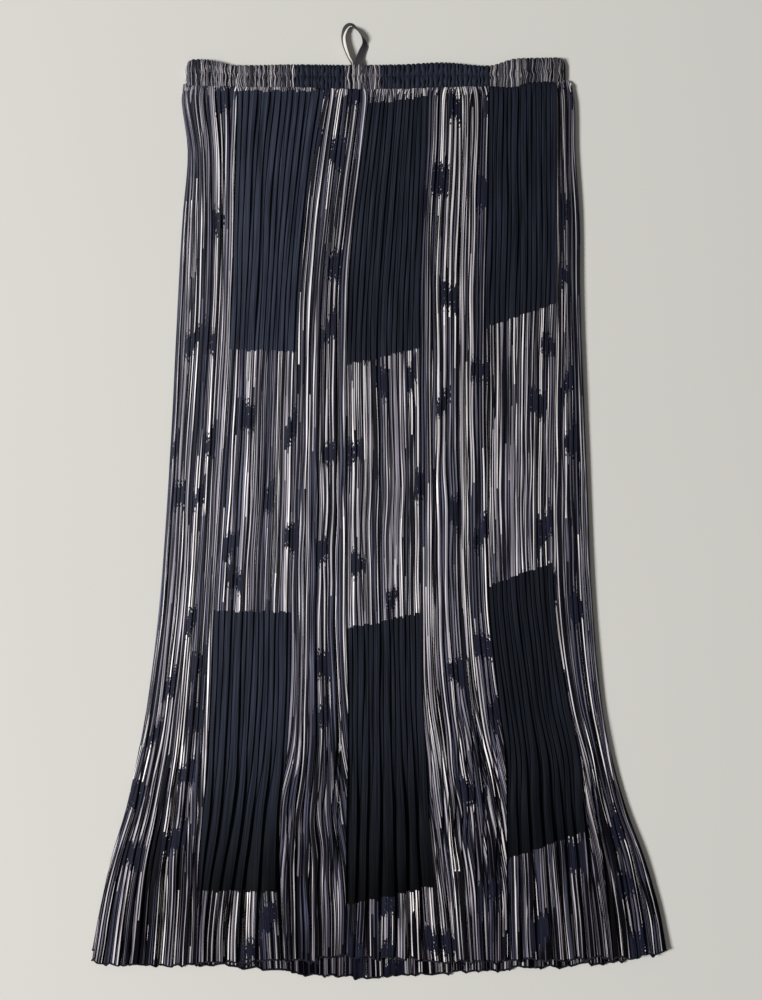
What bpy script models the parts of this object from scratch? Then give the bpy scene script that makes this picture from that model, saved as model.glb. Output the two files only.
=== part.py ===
"""A pleated maxi skirt laid flat, with its waist towards +Y. Metres, +Z up.

The back panel lies on the surface, plain side down and pleats up, and the front panel lies on it.
Each half of the waistband is a gathered elastic casing sewn to its panel's top edge. A ribbon loop
for hanging comes out between the two halves. The tables are in millimetres: across is measured
from the skirt's centre line, down and rise from the waist seam.
"""

import math
from bisect import bisect_right
from collections import namedtuple

import bmesh
import bpy
from mathutils import Matrix, Vector

MM = 0.001

# Places
SEAM_Y = 413.0  # the waist seam, from the middle of the skirt's length
HEM_DOWN = 867.0  # the front hem's highest point, below the waist seam
SEAM_GAP = 0.3  # between two pieces sewn or laid together

# Knife pleats: each rises slowly to a ridge and falls steeply behind it
PLEATS_BY_ZONE = (10, 8, 6, 10, 7, 9, 6)  # between each two guide pleats, 56 in all
RIDGE_SHARE = 0.75  # where the ridge stands in a pleat's width
PLEAT_SLOPE = 0.36  # height of a ridge for each millimetre of a pleat's width
FRONT_PLEAT_LIMIT = 3.0
BACK_PLEAT_LIMIT = 2.0

# Cloth walls, upright thicknesses and heights
FRONT_CLOTH = 2.0
FRONT_EDGE_CLOTH = 1.2
BACK_VALLEY = 1.0
BACK_EDGE = 1.5
FRONT_BED = BACK_VALLEY + BACK_PLEAT_LIMIT + SEAM_GAP
SIDE_ROLL = 10.0  # the front bends down to the back over this width of each side

# Waistband casings
GATHERS = 44  # in each half
SCALLOP = 0.8  # how far the top edge stands up over a gather
BACK_BAND_LOWER = 1.5  # the back half's top edge hides this far below the front's
BACK_BAND_SHARE = 0.85  # the back half is pressed to this share of the front's thickness
BAND_BED = 4.6  # the front half's inner face, which leaves room for the loop's ends
BAND_END_TOP = 1.6  # the back half's thickness at its ends
BAND_END_ROLL = 8.0
BAND_CORNER = 4.0  # the band's corners, seen from above, are rounded over this width
BAND_CORNER_DROP = 2.0  # and by this much at the very end
FLAT_GATHERS_FROM = 111.0  # past here across, the casing is stretched flatter
FLAT_GATHERS_SHARE = 0.5
SHOULDER_DROP = 0.125  # fall of the panel's top edge past the band's end, for each mm squared

# Hanger loop
RIBBON_WIDTH = 6.5
RIBBON_THICKNESS = 1.0
RIBBON_HEIGHT = 3.8  # the ribbon's middle, halfway between the two casings
RIBBON_STEPS = 3  # rings between two rows of its table

# A row for each section of the panels. The columns from left to right are guide pleats, the side
# edges among them; seam and hem say how far a section follows those edges; depth is the share of
# the pleats' height, and gore the height of the soft flutes of the flare.
Section = namedtuple(
    "Section",
    "down seam hem depth gore left a_left a_right b_left b_right c_left c_right right",
)
SECTIONS = (
    Section(0, 1.0, 0.0, 0.4, 0.0, -196.5, -142.0, -54.0, -10.0, 49.5, 110.0, 178.0, 193.0),
    Section(14, 0.4, 0.0, 1.0, 0.0, -198.0, -142.2, -56.5, -11.0, 48.6, 109.8, 178.0, 196.0),
    Section(62, 0.0, 0.0, 1.0, 0.0, -192.0, -143.6, -64.5, -17.0, 47.0, 109.0, 178.0, 197.0),
    Section(127, 0.0, 0.0, 1.0, 0.0, -197.0, -145.3, -73.0, -25.0, 43.5, 108.0, 177.5, 201.0),
    Section(212, 0.0, 0.0, 1.0, 0.0, -202.0, -147.6, -79.5, -31.5, 40.3, 105.5, 177.2, 202.0),
    Section(362, 0.0, 0.0, 1.0, 0.0, -209.5, -155.0, -84.0, -33.0, 41.3, 106.0, 174.0, 207.5),
    Section(512, 0.0, 0.0, 1.0, 0.0, -220.0, -164.4, -88.0, -33.0, 42.0, 109.5, 175.0, 214.0),
    Section(612, 0.0, 0.0, 1.0, 0.3, -232.0, -168.5, -89.7, -31.0, 43.5, 119.5, 188.5, 223.0),
    Section(672, 0.0, 0.0, 1.0, 1.0, -243.0, -171.5, -93.0, -31.0, 47.0, 126.5, 201.0, 234.0),
    Section(722, 0.0, 0.0, 1.0, 1.7, -254.0, -176.0, -99.0, -31.7, 50.0, 127.6, 204.5, 248.0),
    Section(772, 0.0, 0.0, 1.0, 2.2, -269.0, -180.0, -100.0, -32.5, 53.5, 128.0, 209.0, 266.5),
    Section(822, 0.0, 0.4, 1.0, 2.5, -280.0, -182.0, -98.0, -33.0, 58.0, 128.5, 213.0, 280.5),
    Section(867, 0.0, 1.0, 0.9, 2.5, -288.0, -184.0, -96.0, -34.0, 62.0, 129.0, 217.0, 288.0),
)
FIRST_GUIDE = Section._fields.index("left")

# The flare's flutes meet in valleys at these shares of the width
GORE_VALLEYS = (0.0, 0.117, 0.246, 0.347, 0.43, 0.604, 0.732, 0.87, 1.0)

HemPoint = namedtuple("HemPoint", "across front back")
HEM = (
    HemPoint(-288, 873.0, 865.0),
    HemPoint(-234, 878.0, 870.0),
    HemPoint(-189, 876.0, 869.0),
    HemPoint(-129, 880.0, 875.0),
    HemPoint(-76, 871.0, 887.0),
    HemPoint(-21, 867.0, 891.0),
    HemPoint(26, 869.5, 889.0),
    HemPoint(65, 876.0, 887.0),
    HemPoint(121, 883.0, 873.0),
    HemPoint(181, 880.0, 871.0),
    HemPoint(231, 876.0, 869.0),
    HemPoint(288, 864.0, 858.0),
)

BandPoint = namedtuple("BandPoint", "across top bottom")
BAND = (
    BandPoint(-194, 27.5, 3.5),
    BandPoint(-144, 22.0, 2.0),
    BandPoint(-83, 23.0, 1.5),
    BandPoint(-34, 22.5, 0.0),
    BandPoint(21, 23.0, 0.0),
    BandPoint(64, 25.0, 1.5),
    BandPoint(111, 22.0, 2.5),
    BandPoint(134, 28.5, 1.5),
    BandPoint(153, 29.5, 6.5),
    BandPoint(187, 30.0, 6.5),
)

# The casing's outer face, up its height: two puffs with a stitched line between them. The gathers
# take groove off the thickness between their ribs.
PuffRow = namedtuple("PuffRow", "share thickness groove")
PUFFS = (
    PuffRow(0.0, 1.4, 0.2),
    PuffRow(0.25, 3.4, 1.4),
    PuffRow(0.53, 1.9, 0.4),
    PuffRow(0.78, 3.5, 1.4),
    PuffRow(1.0, 1.4, 0.3),
)

# The ribbon's route, from one end between the casings to the other. turn is how far its width
# is turned up from lying flat, in degrees.
LoopPoint = namedtuple("LoopPoint", "across rise turn")
LOOP = (
    LoopPoint(-19.5, 11.0, 0),
    LoopPoint(-19.5, 23.5, 0),
    LoopPoint(-20.0, 30.0, 12),
    LoopPoint(-16.5, 37.5, 35),
    LoopPoint(-13.0, 45.0, 72),
    LoopPoint(-16.5, 52.5, 85),
    LoopPoint(-22.5, 59.5, 75),
    LoopPoint(-28.5, 62.5, 50),
    LoopPoint(-33.5, 59.5, 42),
    LoopPoint(-35.7, 52.0, 50),
    LoopPoint(-34.2, 42.5, 72),
    LoopPoint(-30.5, 32.0, 75),
    LoopPoint(-28.4, 28.0, 45),
    LoopPoint(-27.2, 24.0, 0),
    LoopPoint(-26.8, 11.0, 0),
)

Look = namedtuple("Look", "name colour roughness")
PLEATED_CLOTH = Look("pleated_cloth", (0.035, 0.037, 0.052, 1.0), 0.62)
CASING_CLOTH = Look("casing_cloth", (0.022, 0.026, 0.038, 1.0), 0.66)
RIBBON_CLOTH = Look("ribbon_cloth", (0.075, 0.077, 0.09, 1.0), 0.45)


def column(rows, name):
    return [getattr(row, name) for row in rows]


def mix(low, high, share):
    return low + (high - low) * share


def ease(share):
    """0 to 1 with level ends."""
    share = min(1.0, max(0.0, share))
    return share * share * (3.0 - 2.0 * share)


def slope_at(places, values, index):
    before = max(0, index - 1)
    after = min(len(places) - 1, index + 1)
    return (values[after] - values[before]) / (places[after] - places[before])


def smooth_value(places, values, at):
    """The value at a place between two rows, on a smooth curve through all of them."""
    at = min(places[-1], max(places[0], at))
    index = min(len(places) - 2, bisect_right(places, at) - 1)
    span = places[index + 1] - places[index]
    share = (at - places[index]) / span
    bend_out = slope_at(places, values, index) * span * share * (1.0 - share) ** 2
    bend_in = slope_at(places, values, index + 1) * span * share**2 * (1.0 - share)
    return mix(values[index], values[index + 1], ease(share)) + bend_out - bend_in


def pleat_width(index):
    """Uneven widths: a pleating machine's folds never lie quite alike."""
    return 1.0 + 0.24 * math.sin(2.4 * index) + 0.14 * math.sin(5.7 * index + 1.0)


def fold_lines():
    """(place, is_ridge) of every fold across a panel. The place counts zones from the left edge."""
    folds = []
    first = 0
    for zone, count in enumerate(PLEATS_BY_ZONE):
        widths = [pleat_width(first + k) for k in range(count)]
        place = float(zone)
        for width in widths:
            share = width / sum(widths)
            folds.append((place, 0.0))
            folds.append((place + RIDGE_SHARE * share, 1.0))
            place += share
        first += count
    folds.append((float(len(PLEATS_BY_ZONE)), 0.0))
    return folds


FOLDS = fold_lines()


def across_at(section, place):
    """Where a fold's place lies across a section, between its two guide pleats."""
    guides = section[FIRST_GUIDE:]
    zone = min(len(guides) - 2, int(place))
    return mix(guides[zone], guides[zone + 1], place - zone)


def ridge_height(section, index, limit):
    """A ridge's height, from how wide its pleat lies at this section. Valleys have none."""
    place, is_ridge = FOLDS[index]
    if not is_ridge:
        return 0.0
    width = across_at(section, FOLDS[index + 1][0]) - across_at(section, FOLDS[index - 1][0])
    return section.depth * min(limit, PLEAT_SLOPE * width)


def flute_height(section, across):
    """The flare's soft flutes: one round crest between each two valleys."""
    share = (across - section.left) / (section.right - section.left)
    valley = min(len(GORE_VALLEYS) - 2, bisect_right(GORE_VALLEYS, share) - 1)
    start = GORE_VALLEYS[valley]
    inside = (share - start) / (GORE_VALLEYS[valley + 1] - start)
    return section.gore * math.sin(math.pi * inside) ** 2


def side_share(section, across):
    """0 on the side edges of a panel, 1 past the stretch where it rolls over to the other."""
    inside = min(across - section.left, section.right - across)
    return ease(inside / SIDE_ROLL)


def seam_rise(across):
    """How far the panel's top edge lies above the nominal seam. It falls past the band's ends."""
    places = column(BAND, "across")
    held = min(places[-1], max(places[0], across))
    return smooth_value(places, column(BAND, "bottom"), held) - SHOULDER_DROP * (across - held) ** 2


def panel_point(section, across, edge):
    """The place of a panel's point, seen from above. edge names the column of its hem."""
    hem_down = smooth_value(column(HEM, "across"), column(HEM, edge), across)
    down = section.down - section.seam * (seam_rise(across) - SEAM_GAP)
    down += section.hem * (hem_down - HEM_DOWN)
    return across, SEAM_Y - down


def back_heights(section, index, across):
    """The back's flat underside and its pleated upper face."""
    upper = BACK_VALLEY + ridge_height(section, index, BACK_PLEAT_LIMIT)
    return 0.0, mix(BACK_EDGE, upper, side_share(section, across))


def front_heights(section, index, across):
    """The front's inner and outer face, both pleated, bent down to the back at its sides."""
    side = side_share(section, across)
    inner = FRONT_BED + ridge_height(section, index, FRONT_PLEAT_LIMIT)
    inner = mix(BACK_EDGE + SEAM_GAP, inner + flute_height(section, across), side)
    return inner, inner + mix(FRONT_EDGE_CLOTH, FRONT_CLOTH, side)


def panel_grids(edge, heights):
    """Lower and upper points of a panel, a row for each section and a column for each fold."""
    lower, upper = [], []
    for section in SECTIONS:
        places = [across_at(section, place) for place, _ in FOLDS]
        plan = [panel_point(section, across, edge) for across in places]
        levels = [heights(section, index, across) for index, across in enumerate(places)]
        lower.append([(x, y, low) for (x, y), (low, _) in zip(plan, levels)])
        upper.append([(x, y, high) for (x, y), (_, high) in zip(plan, levels)])
    return lower, upper


def gather_lines():
    """(across, height share) of the grooves and ribs along a casing."""
    widths = [pleat_width(index) for index in range(GATHERS)]
    start, end = BAND[0].across, BAND[-1].across
    lines = []
    passed = 0.0
    for width in widths:
        lines.append((mix(start, end, passed / sum(widths)), 0.0))
        lines.append((mix(start, end, (passed + 0.5 * width) / sum(widths)), 1.0))
        passed += width
    lines.append((end, 0.0))
    return lines


def band_edges(across, rib, lowered):
    """The casing's bottom and top edge there, above the nominal seam."""
    places = column(BAND, "across")
    inside = min(across - places[0], places[-1] - across)
    rounding = BAND_CORNER_DROP * (1.0 - ease(inside / BAND_CORNER))
    bottom = smooth_value(places, column(BAND, "bottom"), across)
    top = smooth_value(places, column(BAND, "top"), across)
    return bottom, top + SCALLOP * rib - rounding - lowered


def band_grids(is_front):
    """Lower and upper points of a casing half: its plain face, and its puffed and ribbed one."""
    lower, upper = [[], []], [[] for _ in PUFFS]
    for across, rib in gather_lines():
        inside = min(across - BAND[0].across, BAND[-1].across - across)
        end = ease(inside / BAND_END_ROLL)
        bed = mix(BAND_END_TOP + SEAM_GAP, BAND_BED, end) if is_front else 0.0
        bottom, top = band_edges(across, rib, 0.0 if is_front else BACK_BAND_LOWER)
        flat = FLAT_GATHERS_SHARE if across > FLAT_GATHERS_FROM else 1.0
        lower[0].append((across, SEAM_Y + top, bed))
        lower[1].append((across, SEAM_Y + bottom, bed))
        for row, puff in zip(upper, reversed(PUFFS)):
            thickness = puff.thickness - flat * puff.groove * (1.0 - rib)
            if not is_front:
                thickness *= BACK_BAND_SHARE
            thickness = mix(min(thickness, BAND_END_TOP), thickness, end)
            row.append((across, SEAM_Y + mix(bottom, top, puff.share), bed + thickness))
    return lower, upper


def face_strips(mesh, rows):
    """Faces between each two rows: one for each pair of points, or one in all if they differ."""
    for near, far in zip(rows, rows[1:]):
        if len(near) == len(far):
            for k in range(len(near) - 1):
                mesh.faces.new((near[k], far[k], far[k + 1], near[k + 1]))
        else:
            mesh.faces.new(near + far[::-1])


def side_walls(mesh, upper, lower, side):
    """The wall down one side: a face for each section, or one in all if they differ in number."""
    high = [row[side] for row in upper]
    low = [row[side] for row in lower]
    if len(high) == len(low):
        face_strips(mesh, [high, low])
    else:
        mesh.faces.new(high + low[::-1])


def closed_wall(name, lower, upper, look):
    """One closed piece of cloth between two grids of points given in millimetres."""
    mesh = bmesh.new()
    low = [[mesh.verts.new(Vector(point) * MM) for point in row] for row in lower]
    high = [[mesh.verts.new(Vector(point) * MM) for point in row] for row in upper]
    face_strips(mesh, high)
    face_strips(mesh, low)
    face_strips(mesh, [high[0], low[0]])
    face_strips(mesh, [high[-1], low[-1]])
    side_walls(mesh, high, low, 0)
    side_walls(mesh, high, low, -1)
    return finished(name, mesh, look)


def finished(name, mesh, look):
    """An object of the closed mesh, its faces turned out, with its material."""
    bmesh.ops.recalc_face_normals(mesh, faces=mesh.faces)
    data = bpy.data.meshes.new(name)
    mesh.to_mesh(data)
    mesh.free()
    data.materials.append(material_of(look))
    piece = bpy.data.objects.new(name, data)
    bpy.context.scene.collection.objects.link(piece)
    return piece


def material_of(look):
    material = bpy.data.materials.get(look.name)
    if material is None:
        material = bpy.data.materials.new(look.name)
        material.use_nodes = True
        shader = material.node_tree.nodes["Principled BSDF"]
        shader.inputs["Base Color"].default_value = look.colour
        shader.inputs["Roughness"].default_value = look.roughness
        shader.inputs["Metallic"].default_value = 0.0
        material.diffuse_color = look.colour
    return material


def back_panel():
    """The back lies flat on the surface, so inside its outline the underside needs no folds."""
    lower, upper = panel_grids("back", back_heights)
    lower = [lower[0]] + [[row[0], row[-1]] for row in lower[1:-1]] + [lower[-1]]
    return closed_wall("back_panel", lower, upper, PLEATED_CLOTH)


def front_panel():
    lower, upper = panel_grids("front", front_heights)
    return closed_wall("front_panel", lower, upper, PLEATED_CLOTH)


def waistband(name, is_front):
    lower, upper = band_grids(is_front)
    return closed_wall(name, lower, upper, CASING_CLOTH)


def ribbon_route():
    """(place, turn) at each ring of the ribbon: a smooth curve through its table's rows."""
    rows = range(len(LOOP))
    route = []
    for step in range(RIBBON_STEPS * (len(LOOP) - 1) + 1):
        at = step / RIBBON_STEPS
        across = smooth_value(rows, column(LOOP, "across"), at)
        rise = smooth_value(rows, column(LOOP, "rise"), at)
        row = min(len(LOOP) - 2, int(at))
        turn = math.radians(mix(LOOP[row].turn, LOOP[row + 1].turn, at - row))
        route.append((Vector((across, SEAM_Y + rise, RIBBON_HEIGHT)), turn))
    return route


def hanger_loop():
    """A flat ribbon, swept along its route and turned about it."""
    route = ribbon_route()
    mesh = bmesh.new()
    rings = []
    for index, (place, turn) in enumerate(route):
        before = route[max(0, index - 1)][0]
        after = route[min(len(route) - 1, index + 1)][0]
        along = (after - before).normalized()
        width_way = Matrix.Rotation(turn, 3, along) @ along.cross(Vector((0, 0, 1))).normalized()
        face_way = along.cross(width_way)
        wide = width_way * RIBBON_WIDTH / 2
        thick = face_way * RIBBON_THICKNESS / 2
        corners = (wide + thick, wide - thick, -wide - thick, -wide + thick)
        rings.append([mesh.verts.new((place + corner) * MM) for corner in corners])
    for ring, following in zip(rings, rings[1:]):
        for k in range(len(ring)):
            mesh.faces.new((ring[k], ring[k - 1], following[k - 1], following[k]))
    mesh.faces.new(rings[0])
    mesh.faces.new(rings[-1])
    return finished("hanger_loop", mesh, RIBBON_CLOTH)


def main():
    for old in list(bpy.data.objects):
        bpy.data.objects.remove(old)
    skirt = bpy.data.objects.new("pleated_skirt", None)
    bpy.context.scene.collection.objects.link(skirt)
    pieces = (
        back_panel(),
        front_panel(),
        waistband("waistband_back", False),
        waistband("waistband_front", True),
        hanger_loop(),
    )
    for piece in pieces:
        piece.parent = skirt


main()
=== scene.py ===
"""The looks of a pleated maxi skirt laid flat: printed georgette panels, gathered waistband,
overlocked hems and a ribbon loop, on a pale floor in soft light from the upper left.

The skirt's own tables and sizes are in millimetres, as on the maker's cutting table: across is
measured from the centre line, down and rise from the waist seam. Meshes are in metres.
"""

import math
from collections import namedtuple
from functools import partialmethod

import bpy
import numpy as np
from mathutils import Matrix, Vector


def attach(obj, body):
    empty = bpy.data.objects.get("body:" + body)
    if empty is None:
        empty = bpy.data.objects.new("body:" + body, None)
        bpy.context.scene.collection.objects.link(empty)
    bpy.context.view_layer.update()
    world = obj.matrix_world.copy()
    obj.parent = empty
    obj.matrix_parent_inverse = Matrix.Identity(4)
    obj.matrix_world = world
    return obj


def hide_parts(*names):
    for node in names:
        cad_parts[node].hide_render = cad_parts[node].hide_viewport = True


MM = 0.001
UP = np.array([0.0, 0.0, 1.0])


def table(columns, rows):
    """Rows of numbers with named columns."""
    row_type = namedtuple("Row", columns)
    return tuple(row_type(*row) for row in rows)


# --- view and light
VIEW_CENTRE = (0.002, 0.001, 0.006)
VIEW_HEIGHT = 1.3
VIEW_TALL = 1  # metres of the floor in the picture's height
FILM_TALL = 24
WINDOW_FROM = (-5.6, -0.65, 4.6)  # from the view's centre
WINDOW_SIZE = 1.9
WINDOW_POWER = 632
WINDOW_COLOUR = (1, 0.99, 0.98)
ROOM_COLOUR = (0.99, 0.97, 0.92, 1)
ROOM_STRENGTH = 0.165
FLOOR_COLOUR = (0.715, 0.705, 0.67)
FLOOR_CLOUDS = (0.985, 1.015)  # the least and most of that colour
FLOOR_CLOUD_SCALE = 2.2
FLOOR_SIZE = 6

# --- places
SEAM_Y = 413  # the waist seam, from the middle of the skirt's length
HEM_DOWN = 867  # the last row of the panels' grid, before it follows the hem

# A row for each section of the panels. left to right are guide pleats, the side edges among them;
# seam and hem say how far a section follows those edges; depth is the share of the pleats'
# height, and gore the height of the soft flutes of the flare
GUIDES = "left a_left a_right b_left b_right c_left c_right right"
SECTIONS = table("down seam hem depth gore " + GUIDES, (
    (0, 1, 0, 0.4, 0, -196.5, -142, -54, -10, 49.5, 110, 178, 193),
    (14, 0.4, 0, 1, 0, -198, -142.2, -56.5, -11, 48.6, 109.8, 178, 196),
    (62, 0, 0, 1, 0, -192, -143.6, -64.5, -17, 47, 109, 178, 197),
    (127, 0, 0, 1, 0, -197, -145.3, -73, -25, 43.5, 108, 177.5, 201),
    (212, 0, 0, 1, 0, -202, -147.6, -79.5, -31.5, 40.3, 105.5, 177.2, 202),
    (362, 0, 0, 1, 0, -209.5, -155, -84, -33, 41.3, 106, 174, 207.5),
    (512, 0, 0, 1, 0, -220, -164.4, -88, -33, 42, 109.5, 175, 214),
    (612, 0, 0, 1, 0.3, -232, -168.5, -89.7, -31, 43.5, 119.5, 188.5, 223),
    (672, 0, 0, 1, 1, -243, -171.5, -93, -31, 47, 126.5, 201, 234),
    (722, 0, 0, 1, 1.7, -254, -176, -99, -31.7, 50, 127.6, 204.5, 248),
    (772, 0, 0, 1, 2.2, -269, -180, -100, -32.5, 53.5, 128, 209, 266.5),
    (822, 0, 0.4, 1, 2.5, -280, -182, -98, -33, 58, 128.5, 213, 280.5),
    (867, 0, 1, 0.8, 2.5, -288, -184, -96, -34, 62, 129, 217, 288),
))
# The flutes meet in valleys at these shares of the width
GORE_VALLEYS = (0, 0.117, 0.246, 0.347, 0.43, 0.604, 0.732, 0.87, 1)

# How far down the two hems lie
HEM = table("across front back", (
    (-288, 873, 865), (-234, 877, 872), (-189, 875, 877), (-129, 872.5, 880),
    (-76, 871, 886), (-21, 867.5, 890), (26, 869.5, 888), (65, 873, 886),
    (121, 872, 882), (181, 870.5, 878.5), (231, 869.5, 875), (288, 864, 862),
))

# How far above the waist seam the band's edges lie
BAND = table("across top bottom", (
    (-194, 27.5, 3.5), (-176, 28.3, 3), (-164, 26.6, 2.6), (-148, 22.6, 2.1),
    (-83, 23, 1.5), (-34, 22.5, 0), (21, 23, 0), (64, 25, 1.5),
    (111, 22, 2.5), (134, 28.5, 1.5), (153, 29.5, 6.5), (187, 30, 6.5),
))

# --- pleats
PLEATS_BY_ZONE = (12, 14, 9, 14, 12, 14, 8)  # between each two guide pleats
EVERY_SECOND_WIDER = 0.12
UNEVEN_WIDTHS = (0.22, 2.4, 0.6)  # how much, and the step and start of its wave
RIDGE_SHARE = 0.93  # where the fold's edge stands in a pleat's width
PLEAT_SLOPE = 0.4  # height of a fold for each millimetre of its width
PLEAT_LIMIT = 3.3
BACK_PLEAT_LIMIT = 2.1
PLEAT_LEVEL = 0.88  # share of that height, before its waves
CUT_FOR_FACE = 1.15  # cut width of a pleat for its widest face
FACE_END_IN_CUT = 0.85  # where in its cut width a pleat's face ends, at the fold's edge
CLOTH = 0.38
FRONT_VALLEY = 4.5
FRONT_EDGES = (1.3, 4.2)  # height of the front's left and right edge
BACK_LOW = 0.05
BACK_EDGE = 0.45
SIDE_ROLLS = (4.5, 1.8)  # width of the left and right stretch that rolls over to an edge
TUCK = 2.2  # how far the panel goes up under the waistband
TUCK_LEVEL = 3.9
TUCK_START = 1
TUCK_OUT = 3.2
SHOULDER_DROP = 0.125  # fall of the top edge past the band's end, for each mm squared
FRONT_SEED = 11
BACK_SEED = 41

# A knife pleat's section: share of its face's width, share of its height
PROFILE = ((0, 0), (0.15, 0.36), (0.55, 0.78), (1, 1))
FALL_MIDDLE = (0.5, 0.4)  # share of the way to the next pleat, share of the height

# Rows of a panel's grid: those at the waist, then runs of them as first, last and how many,
# closest at the flare and the hem
WAIST_ROWS = (0, 1.2, 3, 5, 7.5, 11, 15)
ROW_RUNS = ((24, 560, 44), (565.5, 840, 54), (846, HEM_DOWN, 5))

# How the pleats of each zone lie. flare, middle: how much they waver there. lean: how far the
# inner ones move towards the left at the hem. merge: how much every second one closes there.
# shoulder: how far the inner ones are pulled to the left at the waist. slant_left, slant_right:
# how steeply the print runs off sideways in the flare, at the zone's two sides
LAYS = table("flare middle lean merge shoulder slant_left slant_right", (
    (0.4, 0.2, 0, 0.2, 0.92, -0.10, 0.10),
    (0.1, 0.25, 0.8, 1.08, 0, 0, 0),
    (0.9, 0.6, 0, 0, 0, -0.12, 0.26),
    (0.1, 0.45, 0.35, 1.08, 0, 0, 0),
    (0.9, 0.35, 0, 0, 0, 0.12, 0.30),
    (0.12, 0.25, -0.3, 0.6, 0, 0, 0),
    (0.5, 0.3, 0, 0.2, 0, 0.10, -0.05),
))
CRUMPLES = (("flare", 715, 85), ("middle", 430, 90))  # column, its middle, its reach
MERGE_RUN = (650, 765)  # each run is from, to
LEAN_RUN = (690, 850)
SHOULDER_RUN = (0, 150)
SLANT_RUN = (590, 830)
MERGE_WIDTH = 0.72  # what merging does to the pleats' widths and heights
MERGE_LOWERS = 0.85
MERGE_LIFTS = 0.35
SLANT_WIDTH = -130  # how far the print runs off sideways at a slant of 1
SLANT_SPREAD = (0.55, 1.45)
RUFFLE_REACH = 6

# The cloth's slow uneven waves: the seed, counted from the piece's own, how much, and the waves'
# lengths in millimetres
WAVE_STRETCH = (0.75, 1.3)  # the least and most of those
Wave = namedtuple("Wave", "seed amount lengths")
WANDER = Wave(0, 0.16, (360, 210))  # of the pleats' widths
CRUMPLED_WIDTHS = Wave(1, 0.17, (130, 80))
UNEVEN_HEIGHTS = Wave(2, 0.2, (240, 110))
RIDGE_WANDER = Wave(3, 0.03, (150,))
PRINT_DRIFT = Wave(4, 0.5, (260, 120))
WANDER_IN_DRIFT = 0.35  # share of the pleats' wander that the print follows
SEAM_RUFFLE = Wave(5, 4.5, (1,))  # of the print at the waist seam
BELLY = Wave(6, 0.16, (190, 85))  # of a pleat's face, as a share of its height
HEM_WAVE = Wave(7, 1.6, (57, 29))
HEM_RIPPLE = Wave(8, 0.9, (17, 9))
HEM_DROP = Wave(9, 4.6, (13, 8))  # only the part of it past HEM_DROP_FROM
HEM_DROP_FROM = 0.35
CRUMPLED_PRINT = Wave(8, 1.15, (130, 80))
SLANT_SEED = 9

# --- hem edging
HEM_RADIUS = 1.1
HEM_SIDES = 6
HEM_LOWEST = 0.8  # lowest height of its middle, as a share of its radius
HEM_SMOOTHING = (0.25, 0.5, 0.25)
ABOVE_FLOOR = 0.02

# --- waistband
RIBS = 88
RIB_DEPTH = 1.45  # deeper than the CAD's, because these are twice as many
RIB_WIDTHS = (0.5, 1.5)  # the least and most, against each other
RIB_SHAPE = ((0, 0), (0.12, 0.42), (0.28, 0.84), (0.5, 1), (0.72, 0.84), (0.88, 0.42))
RIB_LEVEL = 0.9  # share of the ribs' depth, before its waves
RIB_LEAN = Wave(0, 0.8, (31, 14))
RIB_UNEVEN = Wave(1, 0.45, (15,))
PRINT_SLIP = Wave(3, 1, (26,))  # how far the gathers shift the print to either side
WIDTH_SEED = 5
HANG_SEED = 6
HANG = (0.2, 1)  # the least and most of BOTTOM_SCALLOP
FRONT_BAND_SEED = 71
BACK_BAND_SEED = 91
SCALLOP = 0.9
BOTTOM_SCALLOP = 1.1
BAND_HEIGHT = 25
CASING_STEPS = 18
BACK_BAND_LOWER = 1.5
BACK_BAND_SHARE = 0.85
BAND_BED = 4.6
BAND_END_TOP = 1.6
BAND_END_ROLL = 8
BAND_CORNER = 7
BAND_CORNER_DROP = 4.5
BAND_END_NOTCH = 2.2  # how far the stitching draws a band's end in
BAND_NOTCH_REACH = 6
BAND_GAP = 0.3
FLAT_RIBS_RUN = (111, 119)
FLAT_RIBS_SHARE = 0.55
INNER_SHARES = (0.93, 0.7, 0.53, 0.3, 0.07)  # rows of the inner face, from the top down
INNER_HOLLOW = 0.35
STITCH_SHARE = 0.53
BAND_GATHER = 2.1  # cut width of casing cloth for each millimetre of the gathered band
BACK_PRINT_SHIFT = 311  # so that the back half shows another part of the print
BACK_PLACE_SHIFT = 1000  # and none of the plain stretches

# The casing's outer face, up its height, as thickness and the share of the ribs' depth
PUFFS = table("share thickness rib", (
    (0, 0.9, 0.25), (0.05, 1.9, 0.6), (0.25, 3.4, 1), (0.45, 2.6, 0.8),
    (0.53, 1.5, 0.3), (0.61, 2.6, 0.8), (0.78, 3.5, 1), (0.94, 2.5, 0.8),
    (1, 1.4, 0.45),
))

# A stitch from end to end: share of its length, height of its middle and half its thickness
STITCH = ((0, -0.15, 0.08), (0.25, 0.2, 0.2), (0.75, 0.2, 0.2), (1, -0.15, 0.08))
STITCH_SIDES = 6

# --- hanger loop
RIBBON_WIDTH = 6.5
RIBBON_CLOTH = 0.55
RIBBON_HEIGHT = 3.8  # between the two casings
RIBBON_SETTLES = 1.2  # how much lower it lies past them
RIBBON_SETTLE_RUN = (25, 37)
RIBBON_STEPS = 9

# Half of its section, as shares of half its width and of its cloth. The woven edges stand
# slightly proud, and the other half is the same turned over
RIBBON_SECTION = (
    (-1, 0), (-0.94, 0.62), (-0.82, 0.42), (0, 0.5), (0.82, 0.42), (0.94, 0.62),
)

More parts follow.
